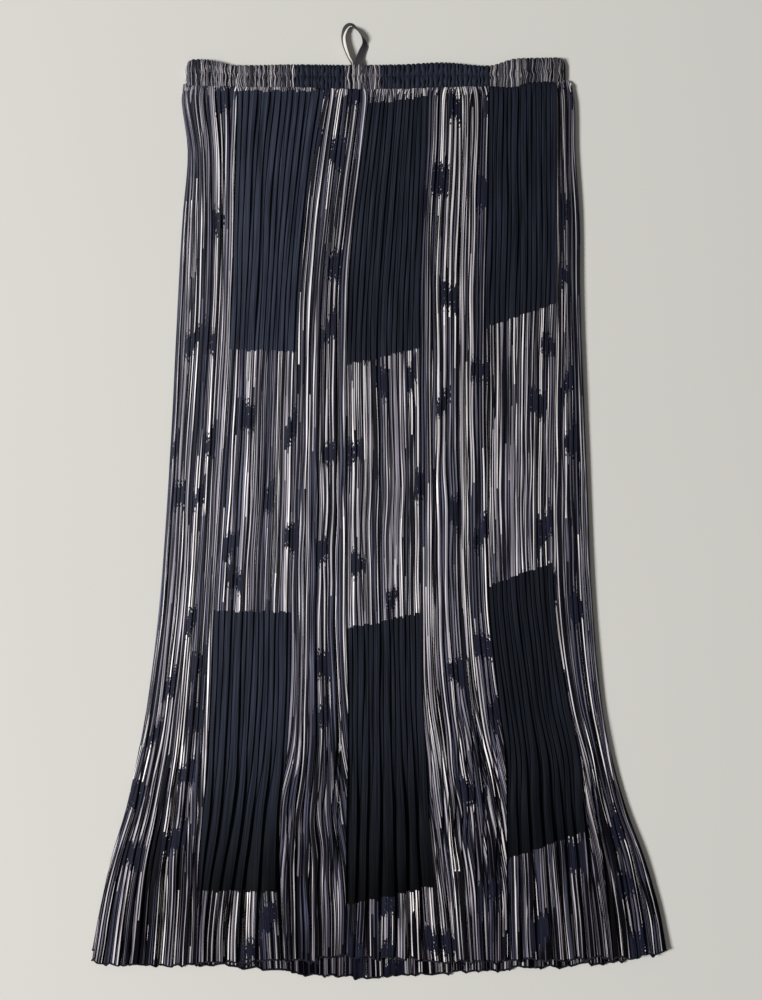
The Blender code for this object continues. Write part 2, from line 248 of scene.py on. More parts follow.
# The hanger ribbon's way: its turn in degrees from lying flat, and from where across its width,
# -1 to 1, its pale reverse shows
LOOP = table("across rise turn pale_from", (
    (-19.5, 11, 0, 1.2), (-19.5, 23.5, 0, 1.2), (-20, 30, 6, 1.2),
    (-17.2, 37.5, 18, 1.2), (-14.2, 45, 36, 1.2), (-17.2, 52.7, 76, 1.2),
    (-22.9, 59.8, 72, 1.2), (-28.8, 64.2, 36, 0.66), (-33.4, 60.8, 27, 0.5),
    (-35.6, 52, 48, -0.1), (-34.1, 42.5, 60, -0.35), (-30.3, 32, 75, -0.2),
    (-28.2, 28, 78, 0.1), (-27, 24, 76, 0.8), (-26.6, 11, 70, 1.2),
))

# --- print, and the painted shade and painted sheen laid over it
# Colours, linear
NAVY_BLACK = (0.0052, 0.0054, 0.0098, 1)
DAB_NAVY = (0.0085, 0.0095, 0.0190, 1)
BLOCK_NAVY = (0.0142, 0.0178, 0.0295, 1)
DARK_SLATE = (0.026, 0.028, 0.046, 1)
SLATE = (0.080, 0.082, 0.122, 1)
LILAC_GREY = (0.215, 0.200, 0.240, 1)
LIGHT_GREY = (0.50, 0.475, 0.51, 1)
CREAM = (0.80, 0.762, 0.77, 1)

# Layers of printed lines, the lowest first. lane: width of cloth for each line. thin, thick:
# the least and most that half a line takes of its lane. shown: share of lanes with a line.
# more: 1 where a rich stretch has more of them, less than 0 where it has fewer. tones: colours,
# each up to its share of the lines
DARK_TONES = ((0.22, DARK_SLATE), (0.72, SLATE), (1, LILAC_GREY))
FINE_TONES = ((0.42, SLATE), (0.80, LILAC_GREY), (1, LIGHT_GREY))
PALE_TONES = ((0.14, SLATE), (0.38, LILAC_GREY), (0.70, LIGHT_GREY), (1, CREAM))
GAPS = ((1, NAVY_BLACK),)
LAYERS = table("key lane thin thick shown more tones", (
    (11, 4.6, 0.30, 0.50, 0.66, 1, DARK_TONES),
    (29, 1.6, 0.22, 0.36, 0.50, 1, FINE_TONES),
    (47, 2.3, 0.26, 0.40, 0.68, 1, PALE_TONES),
    (61, 2.6, 0.13, 0.26, 0.42, -1, GAPS),
    (83, 3.1, 0.14, 0.25, 0.76, -0.5, GAPS),
))
LINE_RUN = 520  # a line keeps its colour about this far down
LINE_STARTS = 3000  # and the runs start anywhere in this
LINE_ASIDE = 0.16  # how far a line lies off its lane's middle
TAPER_RUN = 62  # a line swells and thins over about this length
TAPER_LANES = 5.7  # keeps one line's swells from the next one's
TAPER_DEPTH = -1.5
SWELLS = (0.38, 0.53)
RICH_ACROSS = 30  # size of a rich or a sparse stretch
RICH_DOWN = 330
RICH_DRIFT = (0.3, 0.7, 0.78, 1.22)

# How the panels' print changes, and the painted shade and painted sheen laid over it. Each row has
# two places, down or counted in zones from the left, and the value at each
SLIVERS_OPEN = (590, 700, 0.15, 0.54)  # how far the lines thin out between their swells
SLIVERS_CLOSE = (800, 866, 1, 0.35)
RICH_AT_SEAM = (4, 10, 1.5, 1)
RICH_AT_RIGHT = (6, 6.5, 1, 0.78)
RICH_AT_FLARE = (600, 790, 1, 0.80)
# painted shade on the stripes: darker to the right, darker over the upper part, a little at the hem
PAINTED_SHADE_ACROSS = (0.5, 6.5, 1.02, 0.78)
PAINTED_SHADE_AT_TOP = (250, 380, 0.82, 1)
PAINTED_SHADE_AT_FLARE = (560, 850, 1, 0.98)
# painted shade: a gamma on the print that darkens its darker tones towards the hem
FLARE_PAINTED_SHADE_GAMMA = (560, 800, 1, 1.24)  # the light lines stand out more from the dark ones
# painted shade on the blocks, deepening towards the hem
BLOCK_PAINTED_SHADE_DOWN = (650, 800, 1, 0.12)
# a painted sheen: a pale veil added over the print, strongest at the upper left, gone at the hem
PAINTED_SHEEN_ACROSS = (0, 4.5, 0.010, 0.001)
PAINTED_SHEEN_DOWN = (450, 820, 1, 0)
PAINTED_SHEEN_AT_LEFT = (0, 2.2, 1.9, 1)
PAINTED_SHEEN_TONE = (0.85, 0.92, 1.25)  # the colour of the painted sheen, for each unit of it
ABOVE_BLOCKS = 20  # down to here the lines of the zones with blocks are packed closer
PACKED_CLOSER = 0.7

# Where the print is plain and dark: the zone between two guide pleats, how far down its upper
# and lower edge lie at the zone's left and right, and light, the painted shade on it, lower for a
# darker block
BLOCKS = table("zone top_left top_right bottom_left bottom_right light", (
    (1, 6, 5, 262, 264, 1),
    (3, 16, 9, 277, 260, 0.6),
    (5, -4, -4, 241, 216, 0.58),
    (1, 523, 524, 801, 802, 0.82),
    (3, 540, 524, 817, 797, 0.48),
    (5, 499, 475, 772, 744, 0.38),
))
BLOCK_RAG_WIDTH = 4.3
BLOCK_RAG = 1.3
PLAIN_CASING = ((-84, -34), (3, 111))
# painted shade on the casings' stripes, darker towards the right
CASING_PAINTED_SHADE = (-190, 190, 0.74, 0.50)

DAB_ACROSS = 56  # between two dabs, on the cut cloth
DAB_DOWN = 56
DAB_SHIFTS = (0.26, 0.22)  # how far a dab lies off its place, as shares of those
DAB_STEP = 8.5  # width of each of a dab's steps
DAB_CLIMB = (-4, 9)
DAB_HALF = 14
DAB_LENGTHS = (0.6, 1.15)
DAB_HALO = 5  # speckles reach this far past a dab's ends
DAB_RAG_WIDTH = 0.8
DAB_RAG = 3.5
DAB_SPECKLE = (0.8, 0.4)  # scale across, and its share down
DAB_BROKEN = (-6, DAB_HALO, 0.72, 0.32)
DAB_NONE = 0.57  # share of the places that stay without a dab

# --- finishes
CREPE_GRAIN = 2200
CREPE_BUMP = (0.3, 0.00012)  # each bump's strength, and its depth in metres
UNEVEN_SCALE = 26
STREAKS = (0.9, 0.012)  # scale across, and its share down
UNEVEN_COLOUR = (0.3, 0.7, 0.9, 1.1)
STREAK_COLOUR = (0.36, 0.64, 0.4, 1.75)
CLOTH_ROUGHNESS = (0.3, 0.7, 0.54, 0.68)
THREAD_TONES = ((0.006, 0.006, 0.010, 1), (0.028, 0.028, 0.040, 1))
THREAD_WRAP = 0.55
THREAD_BUMP = (0.6, 0.0002)
SEWING_TONES = ((0.010, 0.011, 0.018, 1), (0.030, 0.032, 0.048, 1))
SEWING_TWISTS = 4  # for each millimetre
SATIN_TONES = ((0.044, 0.042, 0.050, 1), (0.075, 0.072, 0.083, 1))
REVERSE_TONES = ((0.60, 0.57, 0.53, 1), (0.74, 0.71, 0.67, 1))
SATIN_RIBS = (2.6, 2)  # along and across
SATIN_BUMP = (0.35, 0.0001)


# --- curves and waves
def column(rows, name):
    return np.array([float(getattr(row, name)) for row in rows])


def mix(low, high, share):
    return low + (high - low) * share


def ease(share):
    """0 to 1 with level ends."""
    share = np.clip(share, 0.0, 1.0)
    return share * share * (3.0 - 2.0 * share)


def eased(at, start, end):
    """0 up to start, 1 from end on."""
    return ease((at - start) / (end - start))


def smooth_curve(places, values, at):
    """Values on a smooth curve through all the rows of a table."""
    places = np.asarray(places, float)
    slopes = np.empty_like(values)
    slopes[1:-1] = (values[2:] - values[:-2]) / (places[2:] - places[:-2])
    slopes[0] = (values[1] - values[0]) / (places[1] - places[0])
    slopes[-1] = (values[-1] - values[-2]) / (places[-1] - places[-2])
    at = np.clip(at, places[0], places[-1])
    index = np.clip(np.searchsorted(places, at, side="right") - 1, 0, len(places) - 2)
    span = places[index + 1] - places[index]
    share = (at - places[index]) / span
    bend = slopes[index] * span * share * (1.0 - share) ** 2
    bend = bend - slopes[index + 1] * span * share**2 * (1.0 - share)
    return mix(values[index], values[index + 1], ease(share)) + bend


def read(rows, name, at):
    """A table's column at places between its rows, which its first column gives."""
    return smooth_curve(column(rows, rows[0]._fields[0]), column(rows, name), at)


def waves(seed, lanes, at, lengths):
    """Smooth uneven waves between about -1 and 1: a row for each place, a column for each lane."""
    draw = np.random.default_rng(seed)
    total = np.zeros((len(at), lanes))
    for length in lengths:
        phase = draw.uniform(0.0, 2.0 * math.pi, lanes)
        stretch = draw.uniform(*WAVE_STRETCH, lanes)
        total += np.sin(2.0 * math.pi * at[:, None] / (length * stretch) + phase)
    return total / len(lengths)


def wavy(wave, seed, lanes, at):
    return wave.amount * waves(seed + wave.seed, lanes, at, wave.lengths)


def path_lengths(path):
    """How far along a path each of its points lies."""
    steps = np.linalg.norm(np.diff(path, axis=0), axis=1)
    return np.concatenate([[0.0], np.cumsum(steps)])


# --- meshes
def linked(name, data, material=None):
    """An object of the data, in the scene."""
    if material:
        data.materials.append(material)
    piece = bpy.data.objects.new(name, data)
    bpy.context.scene.collection.objects.link(piece)
    return piece


def grid_faces(rows, columns, first=0, closed=False):
    """Faces of a grid of points that are numbered row by row."""
    row = np.arange(rows - 1)[:, None] * columns
    near = np.arange(columns if closed else columns - 1)[None, :]
    far = (near + 1) % columns
    corners = (row + near, row + far, row + columns + far, row + columns + near)
    return first + np.stack([corner.ravel() for corner in corners], axis=1)


def cloth_mesh(name, points, faces, print_at, sharp_from=40.0):
    """A mesh of points in millimetres, with the place of each in the print."""
    mesh = bpy.data.meshes.new(name)
    mesh.from_pydata((points * MM).tolist(), [], faces)
    printed = mesh.attributes.new("print_at", "FLOAT_VECTOR", "POINT")
    printed.data.foreach_set("vector", print_at.astype(np.float32).ravel())
    mesh.shade_smooth()
    mesh.set_sharp_from_angle(angle=math.radians(sharp_from))
    mesh.update()
    return mesh


def cloth_shell(name, face, print_at, material):
    """A thin closed shell of cloth. face is its outer side, a grid of points from the top row
    down and from left to right, and its other side lies straight below."""
    rows, columns = face.shape[:2]
    under = face - CLOTH * UP
    points = np.concatenate([face.reshape(-1, 3), under.reshape(-1, 3)])
    count = rows * columns
    outer = grid_faces(rows, columns)[:, ::-1]
    inner = grid_faces(rows, columns, count)
    edge = np.concatenate([
        np.arange(columns),
        np.arange(1, rows) * columns + columns - 1,
        (rows - 1) * columns + np.arange(columns - 2, -1, -1),
        np.arange(rows - 2, 0, -1) * columns,
    ])
    after = np.roll(edge, -1)
    rim = np.stack([edge, after, after + count, edge + count], axis=1)
    faces = np.concatenate([outer, inner, rim]).tolist()
    prints = np.concatenate([print_at.reshape(-1, 3)] * 2)
    return linked(name, cloth_mesh(name, points, faces, prints), material)


def ringed_tube(name, rings, print_at, material, sharp_from=40.0):
    """A closed tube through rings of points, with flat caps. rings is rings by points by 3."""
    count, sides = rings.shape[:2]
    faces = grid_faces(count, sides, closed=True).tolist()
    faces.append(list(range(sides)))
    faces.append([(count - 1) * sides + side for side in range(sides)][::-1])
    mesh = cloth_mesh(name, rings.reshape(-1, 3), faces, print_at.reshape(-1, 3), sharp_from)
    return linked(name, mesh, material)


def cord_rings(path, radius, sides):
    """Rings of points round a path."""
    along = np.gradient(path, axis=0)
    along /= np.linalg.norm(along, axis=1)[:, None]
    side = np.cross(along, UP)
    side /= np.linalg.norm(side, axis=1)[:, None]
    over = np.cross(side, along)
    turn = np.arange(sides) / sides * 2.0 * math.pi
    return (
        path[:, None, :]
        + radius * np.cos(turn)[None, :, None] * side[:, None, :]
        + radius * np.sin(turn)[None, :, None] * over[:, None, :]
    )


# --- pleated panels
def pleat_widths():
    """The zone of every pleat, and its start and its uneven width as shares of the zone."""
    amount, step, start = UNEVEN_WIDTHS
    zones, starts, widths = [], [], []
    for zone, count in enumerate(PLEATS_BY_ZONE):
        index = np.arange(len(zones), len(zones) + count)
        width = 1.0 + EVERY_SECOND_WIDER * (-1.0) ** index + amount * np.sin(step * index + start)
        width /= width.sum()
        zones += [zone] * count
        starts += [0.0, *np.cumsum(width)[:-1]]
        widths += [*width]
    return np.array(zones), np.array(starts), np.array(widths)


ZONES, STARTS, WIDTHS = pleat_widths()
PLEATS = len(ZONES)


def lay(name):
    """A column of LAYS, for each pleat."""
    return column(LAYS, name)[ZONES]


def row_places():
    """How far down each row of a panel's grid lies."""
    return np.concatenate([WAIST_ROWS, *(np.linspace(*run) for run in ROW_RUNS)])


def crumple_share(down):
    """The pleats waver most where the flare opens, and a little at mid length; hardly at all
    in the plain zones, where the print's dark ink has stiffened them."""
    return sum(
        np.exp(-(((down - middle) / reach) ** 2))[:, None] * lay(name)
        for name, middle, reach in CRUMPLES
    )


def merging(down):
    """Towards the hem every second pleat of the plain zones closes, and the rest open into
    broad soft folds: above 0 for a pleat that opens, below 0 for one that closes."""
    every_second = (-1.0) ** np.arange(PLEATS) * lay("merge")
    return eased(down, *MERGE_RUN)[:, None] * every_second


def pleat_edges(down, seed):
    """Where each pleat starts and ends across, a row for each place down the panel, and where
    it would if none of them wavered, leaned or merged."""
    wander = wavy(WANDER, seed, PLEATS, down)
    wander = wander + crumple_share(down) * wavy(CRUMPLED_WIDTHS, seed, PLEATS, down)
    wander = wander + MERGE_WIDTH * merging(down)
    from_middle = 2.0 * (STARTS + WIDTHS / 2) - 1.0
    leaning = eased(down, *LEAN_RUN)[:, None] * lay("lean")
    leaning = leaning + (1.0 - eased(down, *SHOULDER_RUN))[:, None] * lay("shoulder")
    sharing = WIDTHS * (1.0 + wander) * (1.0 + leaning * from_middle)
    guides = np.stack([read(SECTIONS, name, down) for name in GUIDES.split()], axis=1)
    edges = np.repeat(guides[:, :1], PLEATS + 1, axis=1)
    plain = edges.copy()
    for zone in range(len(PLEATS_BY_ZONE)):
        inside = np.flatnonzero(ZONES == zone)
        shares = sharing[:, inside]
        ends = np.cumsum(shares, axis=1) / shares.sum(axis=1)[:, None]
        left = guides[:, zone][:, None]
        width = (guides[:, zone + 1] - guides[:, zone])[:, None]
        edges[:, inside + 1] = left + width * ends
        plain[:, inside + 1] = left + width * np.cumsum(WIDTHS[inside])
    return edges, plain


def flute_height(down, across):
    """The flare's soft flutes: one round crest between each two valleys."""
    gore = read(SECTIONS, "gore", down)[:, None]
    share = (across - across[:, :1]) / (across[:, -1:] - across[:, :1])
    valleys = np.array(GORE_VALLEYS)
    index = np.clip(np.searchsorted(valleys, share, side="right") - 1, 0, len(valleys) - 2)
    inside = (share - valleys[index]) / (valleys[index + 1] - valleys[index])
    return np.maximum(gore, 0.0) * np.sin(math.pi * inside) ** 2


def seam_rise(across):
    """How far the band's lower edge lies above the nominal seam; it falls past the band's ends."""
    held = np.clip(across, BAND[0].across, BAND[-1].across)
    return read(BAND, "bottom", held) - SHOULDER_DROP * (across - held) ** 2


def hem_wave(across, seed):
    """How far down the overlocked edge waves, and drops in short scallops here and there."""
    places = across.ravel()
    wave = wavy(HEM_WAVE, seed, 1, places) + wavy(HEM_RIPPLE, seed, 1, places)
    drop = waves(seed + HEM_DROP.seed, 1, places, HEM_DROP.lengths) - HEM_DROP_FROM
    return (wave + HEM_DROP.amount * np.maximum(drop, 0.0)).reshape(across.shape)


def panel_heights(down, pitch, limit, seed):
    """Height of each pleat's fold at each row."""
    depth = read(SECTIONS, "depth", down)[:, None]
    uneven = PLEAT_LEVEL + wavy(UNEVEN_HEIGHTS, seed, PLEATS, down)
    merge = merging(down)
    merged = 1.0 + MERGE_LOWERS * np.minimum(merge, 0.0) + MERGE_LIFTS * np.maximum(merge, 0.0)
    return depth * np.minimum(limit, PLEAT_SLOPE * pitch) * uneven * merged


def print_slant(down, seed):
    """How far the print runs off sideways on each pleat: at the ruffled waist seam, and where
    the pleats open at the flare, so that its lines cross the folds as slivers."""
    spread = np.random.default_rng(seed + SLANT_SEED).uniform(*SLANT_SPREAD, PLEATS)
    slant = mix(lay("slant_left"), lay("slant_right"), STARTS) * spread
    flare = SLANT_WIDTH * slant * eased(down, *SLANT_RUN)[:, None]
    ruffle = np.exp(-down / RUFFLE_REACH)[:, None] * wavy(SEAM_RUFFLE, seed, PLEATS, down * 0.0)
    return flare + ruffle


def pleated_grid(down, limit, seed):
    """across, rise and print place of every point of a pleated panel, and its cut's width."""
    edges, plain = pleat_edges(down, seed)
    pitch = np.diff(edges, axis=1)
    height = panel_heights(down, pitch, limit, seed)
    face = (RIDGE_SHARE + wavy(RIDGE_WANDER, seed, PLEATS, down)) * pitch
    face_length = np.hypot(face, height)
    cut = CUT_FOR_FACE * face_length.max(axis=0)
    cut_start = np.concatenate([[0.0], np.cumsum(cut)[:-1]])
    drift = WANDER_IN_DRIFT * (edges - plain)[:, 1:] + wavy(PRINT_DRIFT, seed, PLEATS, down)
    drift = drift + crumple_share(down) * wavy(CRUMPLED_PRINT, seed, PLEATS, down)
    face_end = cut_start + FACE_END_IN_CUT * cut + drift
    belly = height * wavy(BELLY, seed, PLEATS, down)

    left = edges[:, :-1]
    folds = []
    for share, level in PROFILE:
        rise = height * level + belly * math.sin(math.pi * share)
        folds.append((left + face * share, rise, face_end - (1.0 - share) * face_length))
    share, level = FALL_MIDDLE
    next_start = np.roll(folds[0][2], -1, axis=1)
    next_start[:, -1] = face_end[:, -1] + 1.0
    fall = left + face + (pitch - face) * share
    folds.append((fall, height * level, mix(face_end, next_start, share)))

    grid = [np.stack(part, axis=2).reshape(len(down), -1) for part in zip(*folds)]
    last = (edges[:, -1:], np.zeros((len(down), 1)), next_start[:, -1:])
    across, rise, cloth = (np.concatenate(pair, axis=1) for pair in zip(grid, last))
    slid = np.repeat(print_slant(down, seed), len(folds), axis=1)
    slid = np.concatenate([slid, slid[:, -1:]], axis=1)
    along = np.broadcast_to(down[:, None], cloth.shape)
    prints = np.stack([cloth + slid, along, place_in_zones(cloth, cut)], axis=2)
    return across, rise, prints, cut.sum()


def place_in_zones(cloth, cut):
    """The print's place counted in zones, from how far across the cut it lies."""
    last = np.cumsum(PLEATS_BY_ZONE) - 1
    zone_ends = np.concatenate([[0.0], np.cumsum(cut)[last]])
    return np.interp(cloth, zone_ends, np.arange(len(zone_ends)))


def panel_plan(down, across, side, seed):
    """How far towards the waist each point lies, with the seam and the hem followed."""
    seam = read(SECTIONS, "seam", down)[:, None]
    hem = read(SECTIONS, "hem", down)[:, None]
    lower = down[:, None] - seam * (seam_rise(across) + TUCK)
    past = read(HEM, side, across) - HEM_DOWN + hem_wave(across, seed)
    return SEAM_Y - (lower + hem * past)


def side_share(across):
    """0 on the side edges of a panel, 1 past the stretch where it rolls over to the other."""
    from_left = ease((across - across[:, :1]) / SIDE_ROLLS[0])
    return from_left * ease((across[:, -1:] - across) / SIDE_ROLLS[1])


def front_levels(down, across, rise):
    """The front's heights: its pleats up on its flutes, bent down to the back at its sides."""
    valley = mix(TUCK_LEVEL, FRONT_VALLEY, ease(down / TUCK_OUT))[:, None]
    level = valley + rise * ease((down - TUCK_START) / TUCK_OUT)[:, None]
    level = level + flute_height(down, across)
    return mix(np.where(across < 0.0, *FRONT_EDGES), level, side_share(across))


def back_levels(down, across, rise):
    """The back's heights, its pleats towards the surface."""
    return mix(BACK_EDGE, BACK_LOW + CLOTH + rise.max() - rise, side_share(across))


def panel(side, seed, limit, levels, material):
    """A panel's shell, the line of its hem and its cut's width."""
    down = row_places()
    across, rise, prints, cut = pleated_grid(down, limit, seed)
    level = levels(down, across, rise)
    face = np.stack([across, panel_plan(down, across, side, seed), level], axis=2)
    return cloth_shell(side + "_panel_cloth", face, prints, material), face[-1], cut


def hem_edging(name, edge_points, material):
    """The thread-bound edge along a hem, round the last row of a panel's points."""
    path = edge_points - CLOTH / 2 * UP
    smoothed = np.convolve(np.pad(path[:, 2], 1, mode="edge"), HEM_SMOOTHING, mode="valid")
    path[:, 2] = np.maximum(smoothed, HEM_RADIUS * HEM_LOWEST)
    rings = cord_rings(path, HEM_RADIUS, HEM_SIDES)
    rings[:, :, 2] = np.maximum(rings[:, :, 2], ABOVE_FLOOR)
    print_at = np.zeros(rings.shape)
    print_at[:, :, 0] = path_lengths(path)[:, None]
    print_at[:, :, 1] = np.arange(HEM_SIDES) / HEM_SIDES
    return ringed_tube(name, rings, print_at, material, sharp_from=70.0)


# --- waistband
def rib_columns():
    """across, rib height from 0 to 1 and the rib's number for each column of a casing's points."""
    widths = np.random.default_rng(WIDTH_SEED).uniform(*RIB_WIDTHS, RIBS)
    edges = np.concatenate([[0.0], np.cumsum(widths)]) / widths.sum()
    shares, levels = np.array(RIB_SHAPE).T
    places = np.append(mix(edges[:-1, None], edges[1:, None], shares), 1.0)
    ribs = np.append(np.tile(levels, RIBS), 0.0)
    lanes = np.append(np.repeat(np.arange(RIBS), len(shares)), RIBS - 1)
    return mix(BAND[0].across, BAND[-1].across, places), ribs, lanes


def casing(name, material, is_front):
    """A half of the waistband, with its puffed, gathered outer face and its plainer inner one,
    and the line of its stitching."""
    across, rib, lane = rib_columns()
    at = np.sort(np.append(np.linspace(0.0, 1.0, CASING_STEPS), STITCH_SHARE))
    thickness = read(PUFFS, "thickness", at)
    seed = FRONT_BAND_SEED if is_front else BACK_BAND_SEED

    def rib_waves(wave):
        return wavy(wave, seed, RIBS, at * BAND_HEIGHT)[:, lane]

    ends = np.minimum(across - across[0], across[-1] - across)
    end = ease(ends / BAND_END_ROLL)
    corner = np.clip(1.0 - ends / BAND_CORNER, 0.0, 1.0)
    top = read(BAND, "top", across) + SCALLOP * rib
    top = top - BAND_CORNER_DROP * (1.0 - np.sqrt(1.0 - corner**2))
    hang = np.random.default_rng(HANG_SEED).uniform(*HANG, RIBS)[lane]
    bottom = read(BAND, "bottom", across) - BOTTOM_SCALLOP * rib * hang
    if not is_front:
        top = top - BACK_BAND_LOWER

    flat = mix(1.0, FLAT_RIBS_SHARE, eased(across, *FLAT_RIBS_RUN))
    depth = RIB_DEPTH * read(PUFFS, "rib", at)[:, None] * flat
    depth = depth * (RIB_LEVEL + rib_waves(RIB_UNEVEN))
    thick = (thickness[:, None] - depth * (1.0 - rib)) * (1.0 if is_front else BACK_BAND_SHARE)
    thick = mix(np.minimum(thick, BAND_END_TOP), thick, end)
    bed = mix(BAND_END_TOP + BAND_GAP, BAND_BED, end) if is_front else np.full_like(end, BACK_LOW)

    shift = rib_waves(RIB_LEAN) * np.sin(math.pi * at)[:, None] * end
    thinner = 1.0 - thickness / thickness.max()
    drawn_in = BAND_END_NOTCH * thinner[:, None] * (1.0 - ease(ends / BAND_NOTCH_REACH))
    shift = shift - drawn_in * np.sign(across)
    up = SEAM_Y + mix(bottom, top, at[:, None])
    outer = np.stack([across + shift, up, bed + thick], axis=2)

    inner_up = SEAM_Y + mix(bottom, top, np.array(INNER_SHARES)[:, None])
    hollow = INNER_HOLLOW * (1.0 - rib) * end if is_front else 0.0
    inner = np.stack(np.broadcast_arrays(across, inner_up, bed + hollow), axis=2)
    ring = np.concatenate([outer, inner]).transpose(1, 0, 2)

    slip = np.concatenate([rib_waves(PRINT_SLIP), np.zeros(inner_up.shape)]).T
    prints = np.zeros(ring.shape)
    prints[:, :, 0] = across[:, None] * BAND_GATHER + (0.0 if is_front else BACK_PRINT_SHIFT) + slip
    prints[:, :, 1] = SEAM_Y - ring[:, :, 1]
    prints[:, :, 2] = across[:, None] + (0.0 if is_front else BACK_PLACE_SHIFT)
    band = ringed_tube(name, ring, prints, material, sharp_from=60.0)
    return band, outer[int(np.argmin(abs(at - STITCH_SHARE)))]


def stitches(name, line, material):
    """One thread stitch over each rib, along the middle of the casing."""
    points, faces = [], []
    steps = len(RIB_SHAPE)
    last_ring = (len(STITCH) - 1) * STITCH_SIDES
    for rib in range(RIBS):
        near, far = line[rib * steps + 1], line[rib * steps + steps - 1]
        along = far - near
        across = np.array([-along[1], along[0], 0.0])
        across /= np.linalg.norm(across)
        first = len(points)
        for share, lift, half in STITCH:
            centre = mix(near, far, share) + lift * UP
            for side in range(STITCH_SIDES):
                angle = side / STITCH_SIDES * 2 * math.pi
                points.append(centre + half * (math.cos(angle) * across + math.sin(angle) * UP))
        faces += grid_faces(len(STITCH), STITCH_SIDES, first, closed=True).tolist()
        faces.append([first + side for side in range(STITCH_SIDES)][::-1])
        faces.append([first + last_ring + side for side in range(STITCH_SIDES)])
    points = np.array(points)
    mesh = cloth_mesh(name, points, faces, points, sharp_from=70.0)
    return linked(name, mesh, material)


# --- hanger loop
def hanger_loop(material):
    """The half twisted ribbon, with its two woven edges slightly proud."""
    rows = np.arange(len(LOOP))
    at = np.linspace(0.0, len(LOOP) - 1, RIBBON_STEPS * (len(LOOP) - 1) + 1)
    across, rise, turn, pale_from = (
        smooth_curve(rows, column(LOOP, name), at) for name in LOOP[0]._fields
    )
    turn = np.radians(turn)
    lying = RIBBON_WIDTH / 2 * np.sin(turn) + RIBBON_CLOTH
    lying = np.maximum(lying, RIBBON_HEIGHT - RIBBON_SETTLES)
    height = mix(RIBBON_HEIGHT, lying, eased(rise, *RIBBON_SETTLE_RUN))
    path = np.stack([across, SEAM_Y + rise, height], axis=1)
    along = np.gradient(path, axis=0)
    length = path_lengths(path)
    section = RIBBON_SECTION + tuple((-wide, -deep) for wide, deep in RIBBON_SECTION)
    rings, prints = [], []
    for index, place in enumerate(path):
        forward = Vector(along[index]).normalized()
        flat = forward.cross(Vector((0, 0, 1))).normalized()
        wide = Matrix.Rotation(turn[index], 3, forward) @ flat
        deep = forward.cross(wide)
        rings.append([
            tuple(Vector(place) + wide * (w * RIBBON_WIDTH / 2) + deep * (d * RIBBON_CLOTH))
            for w, d in section
        ])
        prints.append([(w, length[index], pale_from[index]) for w, _ in section])
    return ringed_tube("hanger_ribbon", np.array(rings), np.array(prints), material)


# --- shader building
class Nodes:
    """Adds and joins shader nodes in one tree, as a chain of short calls."""

    def __init__(self, tree):
        self.tree = tree

    def add(self, kind, inputs=(), **settings):
        node = self.tree.nodes.new("ShaderNode" + kind)
        for name, value in settings.items():
            setattr(node, name, value)
        for key, value in dict(inputs).items():
            self.feed(node.inputs[key], value)
        return node

    def feed(self, socket, value):
        if isinstance(value, bpy.types.NodeSocket):
            self.tree.links.new(value, socket)
        else:
            socket.default_value = value

    def calc(self, operation, *values):
        node = self.add("Math", operation=operation)
        for socket, value in zip(node.inputs, values):
            self.feed(socket, value)
        return node.outputs[0]

    plus = partialmethod(calc, "ADD")
    minus = partialmethod(calc, "SUBTRACT")
    over = partialmethod(calc, "DIVIDE")
    times_plus = partialmethod(calc, "MULTIPLY_ADD")
    less = partialmethod(calc, "LESS_THAN")
    more = partialmethod(calc, "GREATER_THAN")
    most = partialmethod(calc, "MAXIMUM")
    floor = partialmethod(calc, "FLOOR")
    part = partialmethod(calc, "FRACT")
    size = partialmethod(calc, "ABSOLUTE")

    def times(self, first, *others):
        for other in others:
            first = self.calc("MULTIPLY", first, other)
        return first

    def zigzag(self, value):
        return self.calc("PINGPONG", value, 0.5)

    def mixed(self, share, low, high):
        node = self.add("Mix", data_type="RGBA")
        self.feed(node.inputs["Factor"], share)
        self.feed(node.inputs[6], low)
        self.feed(node.inputs[7], high)
        return node.outputs[2]

    def vector(self, x=0.0, y=0.0, z=0.0):
        return self.add("CombineXYZ", {"X": x, "Y": y, "Z": z}).outputs[0]

    def chance(self, x, y=0.0):
        """A random value from 0 to 1 for each pair of whole numbers."""
        node = self.add("TexWhiteNoise", {"Vector": self.vector(x, y)}, noise_dimensions="2D")
        return node.outputs["Value"]

    def drawn(self, low, high, x, y=0.0):
        """A random value from low to high for each pair of whole numbers."""
        return self.mapped(self.chance(x, y), 0.0, 1.0, low, high)

    def noise(self, vector, scale, detail=2.0):
        node = self.add("TexNoise", {"Vector": vector, "Scale": scale, "Detail": detail})
        return node.outputs[0]

    def between(self, value, low, high):
        """1 where a value lies between two others, else 0."""
        return self.times(self.more(value, low), self.less(value, high))

    def scaled(self, colour, by):
        node = self.add("VectorMath", {0: colour, "Scale": by}, operation="SCALE")
        return node.outputs[0]

    def mapped(self, value, low, high, to_low, to_high):
        node = self.add("MapRange")
        for socket, number in zip(node.inputs, (value, low, high, to_low, to_high)):
            self.feed(socket, number)
        return node.outputs[0]


def new_group(build, inputs, outputs, kind="NodeSocketFloat"):
    """A shader node group. inputs gives the default of each of its inputs, and build makes the
    nodes between them and the outputs, which are all of one kind."""
    tree = bpy.data.node_groups.new(build.__name__, "ShaderNodeTree")
    for label, default in inputs.items():
        socket = tree.interface.new_socket(label, in_out="INPUT", socket_type="NodeSocketFloat")
        socket.default_value = default
    for label in outputs:
        tree.interface.new_socket(label, in_out="OUTPUT", socket_type=kind)
    nodes = Nodes(tree)
    given = list(tree.nodes.new("NodeGroupInput").outputs)[:len(inputs)]
    out = tree.nodes.new("NodeGroupOutput").inputs
    for socket, value in zip(out, build(nodes, *given)):
        nodes.feed(socket, value)
    return tree


